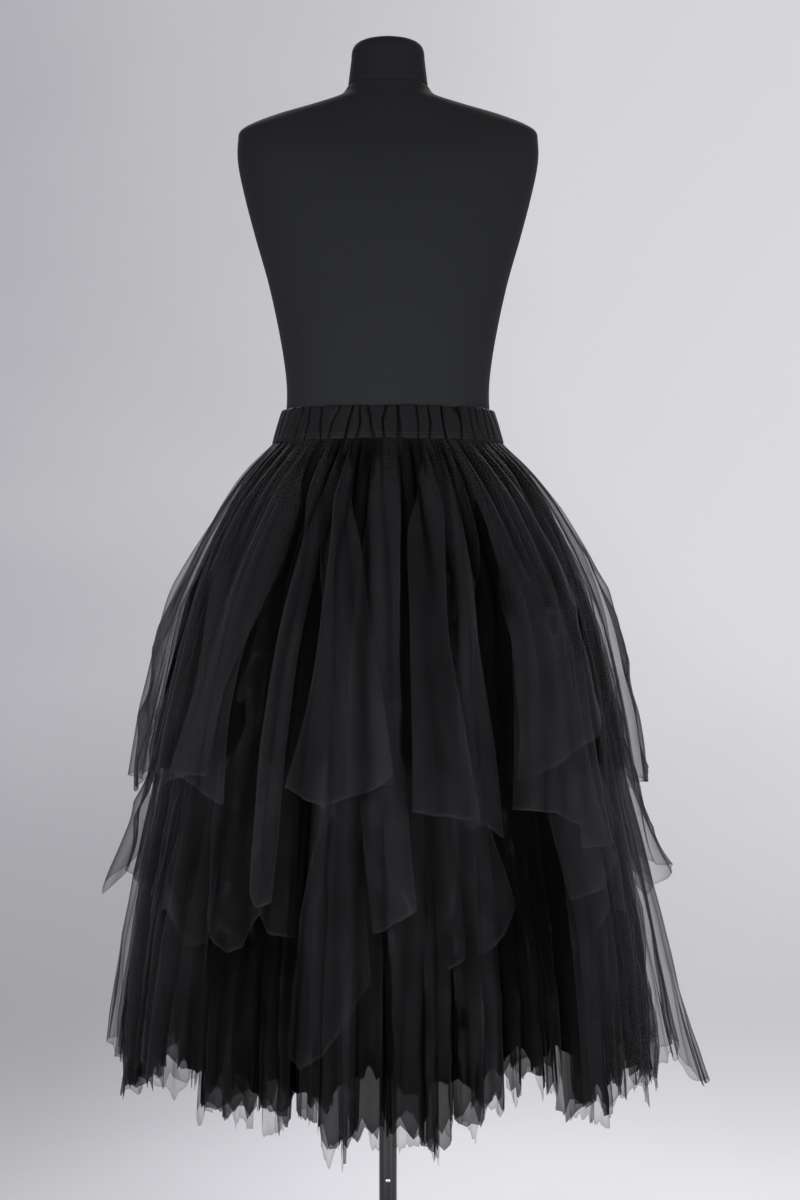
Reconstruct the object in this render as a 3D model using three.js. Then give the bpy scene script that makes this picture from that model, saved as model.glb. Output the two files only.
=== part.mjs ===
// A midi tulle skirt with handkerchief panels in three tiers, gathered into an elastic waistband,
// worn by a smooth dress form without limbs on a pole stand. Millimetres, +Z up, floor at z = 0.
// Turn angles are in degrees round the pole: 0 faces -Y, the side that is seen first, and 90 is +X.
import * as THREE from "three";

// Driving sizes
const WAIST_TOP = 1092; // top edge of the waistband above the floor
const BAND_HEIGHT = 41;
const BAND_WALL = 2;
const BAND_PUCKERS = 48;
const PUCKER_DEPTH = 1.5;
const PUCKER_WAVE = [1, 0.85, -0.4, 0.85]; // shares of that depth across one pucker
const NET_WALL = 1; // wall that stands for a layer of net
const SEAM_GAP = 0.3;
const FIT_GAP = 0.45; // between the form and the band round it
const FOLDS = 24; // the large folds round the skirt
const UNDER_GORES = 10;
const UNDER_HEM = 300; // height of the under layer's hem above the floor
const GORE_GAP = 0.3; // degrees between one gore and the next

const FORM_BOTTOM = 800;
const NECK_SEAM = 1497;
const NECK_TOP = 1557;
const POLE_RADIUS = 11;
const BASE_RADIUS = 180;
const BASE_EDGE = 8;
const BOSS_RADIUS = 24;
const BOSS_TOP = 46;

const FORM_SIDES = 48;
const BAND_SIDES = BAND_PUCKERS * PUCKER_WAVE.length;
const PANEL_COLUMNS = 12;
const SPREAD_POWER = 0.8; // how early a panel spreads from its gathers to its hem
const FLARE_POWER = 5; // how late its corners stand out
const GATHER_DROPS = [0, 26, 72]; // the first rows of every layer, below the waist seam
const LOWER_ROWS = [0.34, 0.66, 1]; // the other rows, as shares of the rest of the way down

const BAND_BOTTOM = WAIST_TOP - BAND_HEIGHT;
const NET_TOP = BAND_BOTTOM - 2 * SEAM_GAP;

// The form's sections: height, half width, depth behind towards -Y, depth in front, squareness.
const FORM_SECTIONS = [
  { z: FORM_BOTTOM, half: 128, back: 84, front: 80, square: 2.0 },
  { z: 806, half: 148, back: 100, front: 94, square: 2.0 },
  { z: 830, half: 164, back: 113, front: 104, square: 2.0 },
  { z: 880, half: 172, back: 119, front: 108, square: 2.0 },
  { z: 940, half: 168, back: 114, front: 106, square: 2.0 },
  { z: 1000, half: 150, back: 103, front: 102, square: 2.0 },
  { z: BAND_BOTTOM, half: 133, back: 96, front: 98, square: 2.0 },
  { z: WAIST_TOP, half: 127, back: 93, front: 96, square: 2.0 },
  { z: 1130, half: 127, back: 93, front: 97, square: 2.0 },
  { z: 1185, half: 135, back: 95, front: 104, square: 2.05 },
  { z: 1250, half: 149, back: 99, front: 117, square: 2.1 },
  { z: 1310, half: 166, back: 103, front: 128, square: 2.15 },
  { z: 1360, half: 179, back: 103, front: 122, square: 2.3 },
  { z: 1400, half: 187, back: 96, front: 104, square: 2.5 },
  { z: 1428, half: 187, back: 84, front: 86, square: 2.6 },
  { z: 1442, half: 182, back: 77, front: 78, square: 2.4 },
  { z: 1458, half: 147, back: 70, front: 71, square: 2.1 },
  { z: 1472, half: 99, back: 63, front: 64, square: 2.0 },
  { z: 1484, half: 62, back: 56, front: 57, square: 2.0 },
  { z: NECK_SEAM, half: 50, back: 50, front: 50, square: 2.0 },
];
const NECK_SECTIONS = [
  { z: NECK_SEAM + SEAM_GAP, half: 50, back: 50, front: 50, square: 2.0 },
  { z: 1530, half: 46, back: 46, front: 46, square: 2.0 },
  { z: 1544, half: 44, back: 44, front: 44, square: 2.0 },
  { z: 1552, half: 36, back: 36, front: 36, square: 2.0 },
  { z: NECK_TOP, half: 18, back: 18, front: 18, square: 2.0 },
];

// Half widths of the under layer against height, from the waist down, and its depths as shares of them.
const HEIGHTS = [NET_TOP, 1004, 954, 904, 854, 804, 754, 704, 654, 604, 554, 504, 454, 354, 254, 200];
const HALF_WIDTHS = [134.6, 156, 172, 187, 200, 211, 221, 230, 239, 247, 255, 263, 271, 285, 296, 300];
const DEPTH_SHARES = [0.75, 0.77, 0.8, 0.83, 0.86, 0.875, 0.885, 0.895, 0.9, 0.905, 0.91, 0.915,
  0.92, 0.92, 0.92, 0.92];
// How far each tier stands out from the under layer at those heights.
const STANDS = {
  under: [0, 0, 0, 0, 0, 0, 0, 0, 0, 0, 0, 0, 0, 0, 0, 0],
  long: [2.4, 10, 15, 18, 21, 23, 25, 26, 27, 29, 32, 34, 35, 33, 30, 28],
  middle: [5.7, 18, 27, 34, 40, 43, 45, 46, 46, 47, 50, 52, 51, 49, 47, 46],
  top: [9, 26.5, 40, 51, 60, 64, 66, 67, 66, 64, 64, 64, 64, 64, 64, 64],
};
// Panels beside each other lie in two plies, this far either side of their tier.
const PLY_AT = [0.8, 1.8, 3, 3.6, 4, 4, 4, 4, 4, 4, 4, 4, 4, 4, 4, 4];
const FOLD_DEPTHS = [0.5, 3, 6, 8, 9.5, 10.5, 11, 11.5, 12, 12, 12.5, 13, 13, 13.5, 14, 14];

// Each panel: where it is gathered at the waist, the turns that its hem spans, and at five stations
// across the hem the height of its cut edge and how far that stands out beyond the tier.
const TOP_PANELS = [
  { waist: [-181, -143], hem: [-182, -144], edge: [640, 610, 650, 600, 630], out: [0, 0, 0, 4, 0] },
  { waist: [-145, -107], hem: [-148, -108], edge: [615, 650, 600, 640, 655], out: [0, 3, 0, 0, 0] },
  { waist: [-109, -71], hem: [-112, -74], edge: [650, 612, 606, 628, 650], out: [0, 4, 6, 3, 0] },
  { waist: [-73, -35], hem: [-78, -32], edge: [655, 640, 650, 632, 600], out: [0, 0, 3, 0, 0] },
  { waist: [-37, 1], hem: [-27, 3], edge: [643, 621, 636, 645, 656], out: [3, 0, 0, 2, 0] },
  { waist: [-1, 37], hem: [2, 25], edge: [606, 615, 611, 606, 634], out: [0, 0, 0, 4, 0] },
  { waist: [35, 73], hem: [23, 72], edge: [625, 660, 690, 712, 660], out: [0, 0, 0, 4, 0] },
  { waist: [71, 109], hem: [70, 112], edge: [640, 632, 628, 622, 640], out: [0, 3, 6, 4, 0] },
  { waist: [107, 145], hem: [109, 147], edge: [650, 600, 640, 615, 650], out: [0, 0, 4, 0, 0] },
  { waist: [143, 181], hem: [144, 181], edge: [605, 645, 620, 655, 610], out: [0, 3, 0, 0, 0] },
];
const MIDDLE_PANELS = [
  { waist: [-199, -161], hem: [-206, -164], edge: [520, 470, 500, 450, 510], out: [0, 8, 0, 6, 0] },
  { waist: [-163, -125], hem: [-167, -129], edge: [500, 455, 520, 480, 530], out: [0, 8, 0, 4, 0] },
  { waist: [-127, -89], hem: [-131, -93], edge: [520, 480, 470, 500, 535], out: [0, 4, 8, 4, 0] },
  { waist: [-91, -53], hem: [-96, -58], edge: [540, 490, 530, 520, 500], out: [8, 22, 6, 0, 0] },
  { waist: [-55, -17], hem: [-60, -22], edge: [500, 452, 437, 478, 497], out: [0, 4, 6, 2, 0] },
  { waist: [-19, 19], hem: [-24, 9], edge: [560, 508, 478, 480, 503], out: [0, 0, 4, 6, 0] },
  { waist: [17, 55], hem: [7, 33], edge: [540, 480, 445, 452, 505], out: [0, 0, 4, 2, 0] },
  { waist: [53, 91], hem: [31, 69], edge: [600, 540, 503, 535, 562], out: [0, 0, 2, 8, 4] },
  { waist: [89, 127], hem: [67, 107], edge: [560, 530, 526, 495, 520], out: [0, 6, 42, 10, 0] },
  { waist: [125, 163], hem: [105, 156], edge: [520, 465, 505, 450, 515], out: [0, 8, 0, 8, 0] },
];
const LONG_PANELS = [
  { waist: [-181, -143], hem: [-182, -144], edge: [262, 240, 270, 236, 255], out: [0, 6, 0, 8, 0] },
  { waist: [-145, -107], hem: [-148, -110], edge: [258, 244, 275, 240, 268], out: [0, 8, 0, 4, 0] },
  { waist: [-109, -71], hem: [-112, -66], edge: [275, 262, 256, 272, 284], out: [0, 4, 10, 2, 0] },
  { waist: [-73, -35], hem: [-68, -24], edge: [284, 268, 258, 244, 256], out: [0, 2, 4, 4, 0] },
  { waist: [-37, 1], hem: [-27, -2], edge: [262, 248, 230, 244, 250], out: [0, 2, 6, 2, 0] },
  { waist: [-1, 37], hem: [-4, 30], edge: [250, 240, 234, 262, 244], out: [0, 2, 6, 0, 4] },
  { waist: [35, 73], hem: [28, 70], edge: [262, 272, 256, 244, 262], out: [0, 0, 4, 6, 0] },
  { waist: [71, 109], hem: [68, 112], edge: [268, 252, 250, 262, 270], out: [4, 46, 60, 12, 0] },
  { waist: [107, 145], hem: [110, 148], edge: [272, 238, 264, 246, 268], out: [0, 8, 0, 6, 0] },
  { waist: [143, 181], hem: [146, 181], edge: [262, 232, 258, 240, 266], out: [0, 6, 0, 4, 0] },
];

const CLOTH = { color: 0x141416, roughness: 0.8, metalness: 0 };
const BAND_CLOTH = { color: 0x1c1c1e, roughness: 0.7, metalness: 0 };
const JERSEY = { color: 0x2c2e30, roughness: 0.9, metalness: 0 };
const STEEL = { color: 0x202124, roughness: 0.45, metalness: 0.6 };

const mix = (a, b, t) => a + (b - a) * t;
const radians = (degrees) => (degrees * Math.PI) / 180;

// The value at x of a smooth curve through (places[i], values[i]), whichever way the places run.
function curveAt(places, values, x) {
  const last = places.length - 1;
  const turn = places[last] > places[0] ? 1 : -1;
  let i = 0;
  while (i < last - 1 && (x - places[i + 1]) * turn > 0) i++;
  const span = places[i + 1] - places[i];
  const t = Math.min(Math.max((x - places[i]) / span, 0), 1);
  const slope = (k) => {
    const [low, high] = [Math.max(k - 1, 0), Math.min(k + 1, last)];
    return (values[high] - values[low]) / (places[high] - places[low]);
  };
  const [t2, t3] = [t * t, t * t * t];
  return (2 * t3 - 3 * t2 + 1) * values[i] + (t3 - 2 * t2 + t) * span * slope(i)
    + (3 * t2 - 2 * t3) * values[i + 1] + (t3 - t2) * span * slope(i + 1);
}

// Straight lines between values that stand at equal steps from 0 to 1.
function stationAt(values, share) {
  const place = share * (values.length - 1);
  const i = Math.min(Math.floor(place), values.length - 2);
  return mix(values[i], values[i + 1], place - i);
}

// The large folds as a share of their depth, unevenly spaced round the skirt.
function foldWave(turn) {
  const a = radians(turn);
  const uneven = 0.8 * Math.sin(3 * a + 0.5) + 0.5 * Math.sin(5 * a + 2);
  return Math.sin(FOLDS * a + uneven) * (0.82 + 0.18 * Math.sin(4 * a + 1));
}

// A point of a layer at a turn and height, standing out from its tier by some millimetres.
function layerPoint(layer, ply, turn, z, out) {
  const half = curveAt(HEIGHTS, HALF_WIDTHS, z);
  const stand = curveAt(HEIGHTS, STANDS[layer], z) + ply * curveAt(HEIGHTS, PLY_AT, z) + out
    + curveAt(HEIGHTS, FOLD_DEPTHS, z) * foldWave(turn);
  const a = radians(turn);
  return new THREE.Vector3(
    (half + stand) * Math.sin(a),
    -(half * curveAt(HEIGHTS, DEPTH_SHARES, z) + stand) * Math.cos(a),
    z,
  );
}

// A point of the form's skin, at a turn round one section.
function sectionPoint(section, turn) {
  const a = radians(turn);
  const bend = (value) => Math.sign(value) * Math.abs(value) ** (2 / section.square);
  const depth = Math.cos(a) > 0 ? section.back : section.front;
  return new THREE.Vector3(section.half * bend(Math.sin(a)), -depth * bend(Math.cos(a)), section.z);
}

function geometryOf(points, faces) {
  const geometry = new THREE.BufferGeometry();
  geometry.setAttribute("position", new THREE.Float32BufferAttribute(points.flatMap((p) => [p.x, p.y, p.z]), 3));
  geometry.setIndex(faces.flat());
  geometry.computeVertexNormals();
  return geometry;
}

// Two triangles for the corners of a quad, given anticlockwise as seen from outside.
const quad = (a, b, c, d) => [[a, b, c], [a, c, d]];

// A cloth wall of even thickness about a grid of middle points, grid[row][column], rows going down.
function clothWall(grid, wall) {
  const [bottom, end] = [grid.length - 1, grid[0].length - 1];
  const columns = end + 1;
  const normalAt = (r, c) => {
    const down = grid[Math.min(r + 1, bottom)][c].clone().sub(grid[Math.max(r - 1, 0)][c]);
    const across = grid[r][Math.min(c + 1, end)].clone().sub(grid[r][Math.max(c - 1, 0)]);
    return down.cross(across).normalize();
  };
  const skin = (side) => grid.flatMap((line, r) =>
    line.map((p, c) => p.clone().addScaledVector(normalAt(r, c), (side * wall) / 2)));
  const outer = (r, c) => r * columns + c;
  const inner = (r, c) => outer(r, c) + (bottom + 1) * columns;
  const faces = [];
  for (let c = 0; c < end; c++) {
    for (let r = 0; r < bottom; r++) {
      faces.push(...quad(outer(r, c), outer(r + 1, c), outer(r + 1, c + 1), outer(r, c + 1)));
      faces.push(...quad(inner(r, c), inner(r, c + 1), inner(r + 1, c + 1), inner(r + 1, c)));
    }
    faces.push(...quad(outer(0, c), outer(0, c + 1), inner(0, c + 1), inner(0, c)));
    faces.push(...quad(outer(bottom, c), inner(bottom, c), inner(bottom, c + 1), outer(bottom, c + 1)));
  }
  for (let r = 0; r < bottom; r++) {
    faces.push(...quad(outer(r, 0), inner(r, 0), inner(r + 1, 0), outer(r + 1, 0)));
    faces.push(...quad(outer(r, end), outer(r + 1, end), inner(r + 1, end), inner(r, end)));
  }
  return geometryOf([...skin(1), ...skin(-1)], faces);
}

// A solid through closed sections from the bottom up, with flat ends.
function loft(sections, sides) {
  const turns = Array.from({ length: sides }, (_, i) => (i * 360) / sides);
  const points = sections.flatMap((section) => turns.map((turn) => sectionPoint(section, turn)));
  const at = (row, i) => row * sides + (i % sides);
  const top = sections.length - 1;
  const low = points.push(new THREE.Vector3(0, 0, sections[0].z)) - 1;
  const high = points.push(new THREE.Vector3(0, 0, sections[top].z)) - 1;
  const faces = [];
  for (let i = 0; i < sides; i++) {
    for (let r = 0; r < top; r++) faces.push(...quad(at(r, i), at(r, i + 1), at(r + 1, i + 1), at(r + 1, i)));
    faces.push([low, at(0, i + 1), at(0, i)], [high, at(top, i), at(top, i + 1)]);
  }
  return geometryOf(points, faces);
}

// The heights of a layer's rows, from the waist seam down to its own cut edge.
function rowHeights(edge) {
  const gathered = GATHER_DROPS.map((drop) => NET_TOP - drop);
  const lowest = gathered[gathered.length - 1];
  return [...gathered, ...LOWER_ROWS.map((share) => mix(lowest, edge, share))];
}

// One cut panel of net, gathered at the waist and spreading to its handkerchief hem.
function panelGeometry(layer, panel, ply) {
  const columns = Array.from({ length: PANEL_COLUMNS + 1 }, (_, c) => {
    const across = c / PANEL_COLUMNS;
    const edge = stationAt(panel.edge, across);
    return rowHeights(edge).map((z) => {
      const down = (NET_TOP - z) / (NET_TOP - edge);
      const gathered = mix(panel.waist[0], panel.waist[1], across);
      const spread = mix(panel.hem[0], panel.hem[1], across);
      const turn = mix(gathered, spread, down ** SPREAD_POWER);
      return layerPoint(layer, ply, turn, z, stationAt(panel.out, across) * down ** FLARE_POWER);
    });
  });
  const grid = columns[0].map((_, r) => columns.map((column) => column[r]));
  return clothWall(grid, NET_WALL);
}

// The under layer is a tube of equal gores with a level hem.
function underGore(i) {
  const span = 360 / UNDER_GORES;
  const seams = [i * span + GORE_GAP / 2, (i + 1) * span - GORE_GAP / 2];
  const level = { waist: seams, hem: seams, edge: [UNDER_HEM, UNDER_HEM], out: [0, 0] };
  return panelGeometry("under", level, 0);
}

// The gathered casing: plain inside, with a pucker every few degrees outside.
function waistbandGeometry() {
  const form = FORM_SECTIONS.find((section) => section.z === WAIST_TOP);
  const seamStand = STANDS.top[0] - NET_WALL;
  const seam = { half: HALF_WIDTHS[0] + seamStand, depth: HALF_WIDTHS[0] * DEPTH_SHARES[0] + seamStand };
  const profile = [
    { down: 0, wall: 0, pucker: 0 },
    { down: 0, wall: BAND_WALL, pucker: 0.7 },
    { down: 0.5, wall: BAND_WALL + 0.8, pucker: 1 },
    { down: 1, wall: BAND_WALL, pucker: 0.7 },
    { down: 1, wall: 0, pucker: 0 },
  ];
  const rings = profile.map(({ down, wall, pucker }) => Array.from({ length: BAND_SIDES }, (_, c) => {
    const a = radians((c * 360) / BAND_SIDES);
    const wave = PUCKER_WAVE[c % PUCKER_WAVE.length] * (0.8 + 0.2 * Math.sin(5 * a));
    const out = wall + wave * PUCKER_DEPTH * pucker;
    const formDepth = Math.cos(a) > 0 ? form.back : form.front;
    const half = mix(form.half + FIT_GAP, seam.half, down) + out;
    const depth = mix(formDepth + FIT_GAP, seam.depth, down) + out;
    return new THREE.Vector3(half * Math.sin(a), -depth * Math.cos(a), WAIST_TOP - down * BAND_HEIGHT);
  }));
  const at = (row, c) => (row % rings.length) * BAND_SIDES + (c % BAND_SIDES);
  const faces = [];
  for (let c = 0; c < BAND_SIDES; c++) {
    for (let row = 0; row < rings.length; row++) {
      faces.push(...quad(at(row, c), at(row + 1, c), at(row + 1, c + 1), at(row, c + 1)));
    }
  }
  return geometryOf(rings.flat(), faces);
}

function baseGeometry() {
  const outline = [
    [0, 0], [BASE_RADIUS - 2, 0], [BASE_RADIUS, 2], [BASE_RADIUS, BASE_EDGE - 2], [BASE_RADIUS - 3, BASE_EDGE],
    [BOSS_RADIUS + 20, BASE_EDGE + 7], [BOSS_RADIUS, BASE_EDGE + 12], [BOSS_RADIUS - 2, BOSS_TOP],
    [0, BOSS_TOP],
  ];
  return new THREE.LatheGeometry(outline.map(([r, z]) => new THREE.Vector2(r, z)), 40).rotateX(Math.PI / 2);
}

function poleGeometry() {
  const length = FORM_BOTTOM - BOSS_TOP - 2 * SEAM_GAP;
  return new THREE.CylinderGeometry(POLE_RADIUS, POLE_RADIUS, length, 24).rotateX(Math.PI / 2)
    .translate(0, 0, BOSS_TOP + SEAM_GAP + length / 2);
}

const skirtOnForm = new THREE.Group();

function add(name, geometry, finish) {
  const mesh = new THREE.Mesh(geometry, new THREE.MeshStandardMaterial(finish));
  mesh.name = name;
  skirtOnForm.add(mesh);
}

function addTier(layer, panels) {
  panels.forEach((panel, i) => {
    const ply = i % 2 ? 1 : -1;
    add(`${layer}_panel_${String(i + 1).padStart(2, "0")}`, panelGeometry(layer, panel, ply), CLOTH);
  });
}

add("stand_base", baseGeometry(), STEEL);
add("stand_pole", poleGeometry(), STEEL);
add("form_torso", loft(FORM_SECTIONS, FORM_SIDES), JERSEY);
add("form_neck_cap", loft(NECK_SECTIONS, FORM_SIDES / 2), JERSEY);
add("waistband", waistbandGeometry(), BAND_CLOTH);
for (let i = 0; i < UNDER_GORES; i++) {
  add(`under_gore_${String(i + 1).padStart(2, "0")}`, underGore(i), CLOTH);
}
addTier("long", LONG_PANELS);
addTier("middle", MIDDLE_PANELS);
addTier("top", TOP_PANELS);

export default skirtOnForm;
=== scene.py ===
"""A long black tulle skirt with pointed net panels in tiers, on a charcoal dress form with a pole stand.

Tables are in millimetres and degrees. A turn of 0 faces -Y, which the camera sees, and 90 faces +X.
"""
import math
from collections import namedtuple

import bpy
import numpy as np
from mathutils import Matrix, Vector


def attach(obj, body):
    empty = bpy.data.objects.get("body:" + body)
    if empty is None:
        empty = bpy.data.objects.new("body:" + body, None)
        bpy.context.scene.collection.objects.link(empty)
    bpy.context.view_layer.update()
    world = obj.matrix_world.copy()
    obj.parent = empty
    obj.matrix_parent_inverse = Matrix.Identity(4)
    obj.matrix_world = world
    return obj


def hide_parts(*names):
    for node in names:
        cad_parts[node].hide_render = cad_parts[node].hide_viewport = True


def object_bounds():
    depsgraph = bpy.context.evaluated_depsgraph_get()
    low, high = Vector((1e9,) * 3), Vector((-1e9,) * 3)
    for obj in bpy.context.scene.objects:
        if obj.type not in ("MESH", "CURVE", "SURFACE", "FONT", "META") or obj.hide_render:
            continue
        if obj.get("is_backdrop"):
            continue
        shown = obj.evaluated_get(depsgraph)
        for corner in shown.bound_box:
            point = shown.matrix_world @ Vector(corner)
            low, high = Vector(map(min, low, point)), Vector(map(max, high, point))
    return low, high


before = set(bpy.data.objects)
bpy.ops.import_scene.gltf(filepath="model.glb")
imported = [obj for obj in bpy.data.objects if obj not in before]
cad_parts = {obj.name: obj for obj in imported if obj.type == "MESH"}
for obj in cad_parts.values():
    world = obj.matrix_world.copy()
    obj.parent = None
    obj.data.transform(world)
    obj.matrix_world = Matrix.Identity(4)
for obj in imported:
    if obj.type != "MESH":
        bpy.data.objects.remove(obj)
cad_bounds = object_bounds()

MM = 0.001

# Driving sizes
WAIST_TOP = 1092
BAND_HEIGHT = 41
BAND_BOTTOM = WAIST_TOP - BAND_HEIGHT
NET_TOP = BAND_BOTTOM - 0.6
BAND_PUCKERS = 48
POLE_RADIUS = 11
PHOTO_SCALE = 1.25  # millimetres for one pixel of the photograph, in the plane of the pole
PHOTO_SIZE = (800, 1200)
POLE_PIXEL = 388  # the pole's column in the photograph
WAIST_PIXEL = 405  # the waistband's top edge in the photograph
WAIST_SEEN = 1100  # the height that this edge seems to have in the plane of the pole
CAMERA_DISTANCE = 2800


# Camera, lights and stage

def add_camera():
    """The camera stands level at the height of the photograph's middle row."""
    middle_x = (PHOTO_SIZE[0] / 2 - POLE_PIXEL) * PHOTO_SCALE
    middle_z = WAIST_SEEN - (PHOTO_SIZE[1] / 2 - WAIST_PIXEL) * PHOTO_SCALE
    data = bpy.data.cameras.new("camera")
    data.sensor_width = 36
    data.lens = data.sensor_width * CAMERA_DISTANCE / (PHOTO_SIZE[1] * PHOTO_SCALE)
    camera = bpy.data.objects.new("camera", data)
    camera.location = (middle_x * MM, -CAMERA_DISTANCE * MM, middle_z * MM)
    camera.rotation_euler = (math.radians(90), 0, 0)
    bpy.context.scene.collection.objects.link(camera)
    bpy.context.scene.camera = camera


# Soft boxes, in metres and watts. Each is aimed at a height on the pole.
Lamp = namedtuple("Lamp", "name place aim_height size power")
LAMPS = (
    Lamp("key_light", (-1.5, -2.3, 0.5), 0.66, (0.9, 1.0), 10),
    Lamp("fill_light", (1.7, -2.1, 0.5), 0.66, (0.8, 1.0), 7),
    Lamp("back_key_light", (0.9, 2.6, 2.9), 0.7, (0.9, 1.0), 5),
    Lamp("back_fill_light", (-0.9, 2.6, 2.9), 0.7, (0.8, 1.0), 4),
)
LAMP_SPREAD = 50  # degrees


def add_lamp(lamp):
    data = bpy.data.lights.new(lamp.name, "AREA")
    data.shape = "RECTANGLE"
    data.size, data.size_y = lamp.size
    data.energy = lamp.power
    data.spread = math.radians(LAMP_SPREAD)
    light = bpy.data.objects.new(lamp.name, data)
    light.location = lamp.place
    light.rotation_mode = "QUATERNION"
    aim = Vector((0, 0, lamp.aim_height)) - Vector(lamp.place)
    light.rotation_quaternion = aim.to_track_quat("-Z", "Y")
    light.visible_camera = False
    bpy.context.scene.collection.objects.link(light)


def add_lights():
    """Faint light from all round the room, and the soft boxes."""
    world = bpy.data.worlds.new("room")
    world.use_nodes = True
    background = world.node_tree.nodes["Background"]
    background.inputs["Color"].default_value = (0.86, 0.87, 0.9, 1)
    background.inputs["Strength"].default_value = 0.2
    bpy.context.scene.world = world
    for lamp in LAMPS:
        add_lamp(lamp)


# The stage, in metres
FLOOR_RADIUS = 1.0
BEND_RADIUS = 5.5
WALL_TOP = 8.0
BEND_STEPS = 24
STAGE_SIDES = 96


def add_stage(material):
    """A pale round floor that curves up into a wall on every side."""
    profile = [(0, 0), (FLOOR_RADIUS / 2, 0), (FLOOR_RADIUS, 0)]
    for step in range(1, BEND_STEPS + 1):
        a = math.radians(90 * step / BEND_STEPS)
        profile.append((FLOOR_RADIUS + BEND_RADIUS * math.sin(a), BEND_RADIUS * (1 - math.cos(a))))
    profile.append((FLOOR_RADIUS + BEND_RADIUS, WALL_TOP))
    points = [(0, 0, 0)]
    for r, z in profile[1:]:
        for i in range(STAGE_SIDES):
            a = 2 * math.pi * i / STAGE_SIDES
            points.append((r * math.cos(a), r * math.sin(a), z))
    faces = [(0, 1 + i, 1 + (i + 1) % STAGE_SIDES) for i in range(STAGE_SIDES)]
    for ring in range(len(profile) - 2):
        low = 1 + ring * STAGE_SIDES
        high = low + STAGE_SIDES
        for i in range(STAGE_SIDES):
            j = (i + 1) % STAGE_SIDES
            faces.append((low + i, high + i, high + j, low + j))
    mesh = bpy.data.meshes.new("studio_floor")
    mesh.from_pydata(points, [], faces)
    mesh.polygons.foreach_set("use_smooth", [True] * len(faces))
    mesh.materials.append(material)
    floor = bpy.data.objects.new("studio_floor", mesh)
    bpy.context.scene.collection.objects.link(floor)
    floor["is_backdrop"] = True


# Finishes

class Value:
    """A number or vector that a finish works out. Arithmetic on it adds Math nodes."""

    def __init__(self, finish, socket):
        self.finish = finish
        self.socket = socket

    def math(self, operation, *others):
        return self.finish.node("ShaderNodeMath", {"operation": operation}, [self, *others])

    def __add__(self, other):
        return self.math("ADD", other)

    def __mul__(self, other):
        return self.math("MULTIPLY", other)

    def __sub__(self, other):
        return self.math("SUBTRACT", other)

    def __rsub__(self, other):
        return self.finish.node("ShaderNodeMath", {"operation": "SUBTRACT"}, [other, self])

    def __rtruediv__(self, other):
        return self.finish.node("ShaderNodeMath", {"operation": "DIVIDE"}, [other, self])

    def __pow__(self, other):
        return self.math("POWER", other)

    def clamped(self, low=0.0, high=1.0):
        return self.math("MAXIMUM", low).math("MINIMUM", high)

    __radd__ = __add__
    __rmul__ = __mul__


class Finish:
    """A material with one Principled shader, whose other nodes all come from node()."""

    def __init__(self, name):
        self.material = bpy.data.materials.new(name)
        self.material.use_nodes = True
        self.tree = self.material.node_tree
        self.shader = self.tree.nodes["Principled BSDF"]

    def node(self, kind, settings=None, inputs=(), output=0):
        made = self.tree.nodes.new(kind)
        for key, value in (settings or {}).items():
            setattr(made, key, value)
        pairs = inputs.items() if isinstance(inputs, dict) else enumerate(inputs)
        for key, value in pairs:
            self.feed(made.inputs[key], value)
        return Value(self, made.outputs[output])

    def feed(self, socket, value):
        if isinstance(value, Value):
            self.tree.links.new(value.socket, socket)
        else:
            socket.default_value = value

    def set(self, values):
        for name, value in values.items():
            self.feed(self.shader.inputs[name], value)

    def object_place(self):
        return self.node("ShaderNodeTexCoord", output="Object")

    def mark(self, name):
        return self.node("ShaderNodeAttribute", {"attribute_name": name}, (), "Fac")

    def axis(self, vector, index):
        return self.node("ShaderNodeSeparateXYZ", {}, [vector], index)

    def height(self, low, high):
        """From 0 at a height of low to 1 at high, in metres."""
        return ((self.axis(self.object_place(), 2) - low) * (1 / (high - low))).clamped()

    def noise(self, place, scale, detail=2.0):
        return self.node("ShaderNodeTexNoise", {}, {"Vector": place, "Scale": scale, "Detail": detail}, "Fac")

    def bump(self, height, distance, strength=1.0):
        return self.node(
            "ShaderNodeBump", {}, {"Height": height, "Distance": distance, "Strength": strength}, "Normal"
        )

    def blend(self, share, first, second):
        """A colour between two, by a share from 0 to 1."""
        mixed = self.node("ShaderNodeMix", {"data_type": "RGBA"}, {"Factor": share}, 2)
        for socket, colour in ((6, first), (7, second)):
            self.feed(mixed.socket.node.inputs[socket], colour if isinstance(colour, Value) else (*colour, 1))
        return mixed


NET_PITCH = 2.0 * MM  # from one row of holes in the net to the next
MEAN_OPEN = 0.75  # the mean share of holes in the net, used where the threads lie too close to tell apart
LEAST_UPRIGHT = 0.16  # at a flatter slant than this the cover rises no further
# Painted shade for fold valleys in the net, and deeper for the plies beneath.
DEEP_SHADE = (0.0008, 0.0008, 0.0009)
DEEPEST_SHADE = (0.0003, 0.0003, 0.0003)


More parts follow.
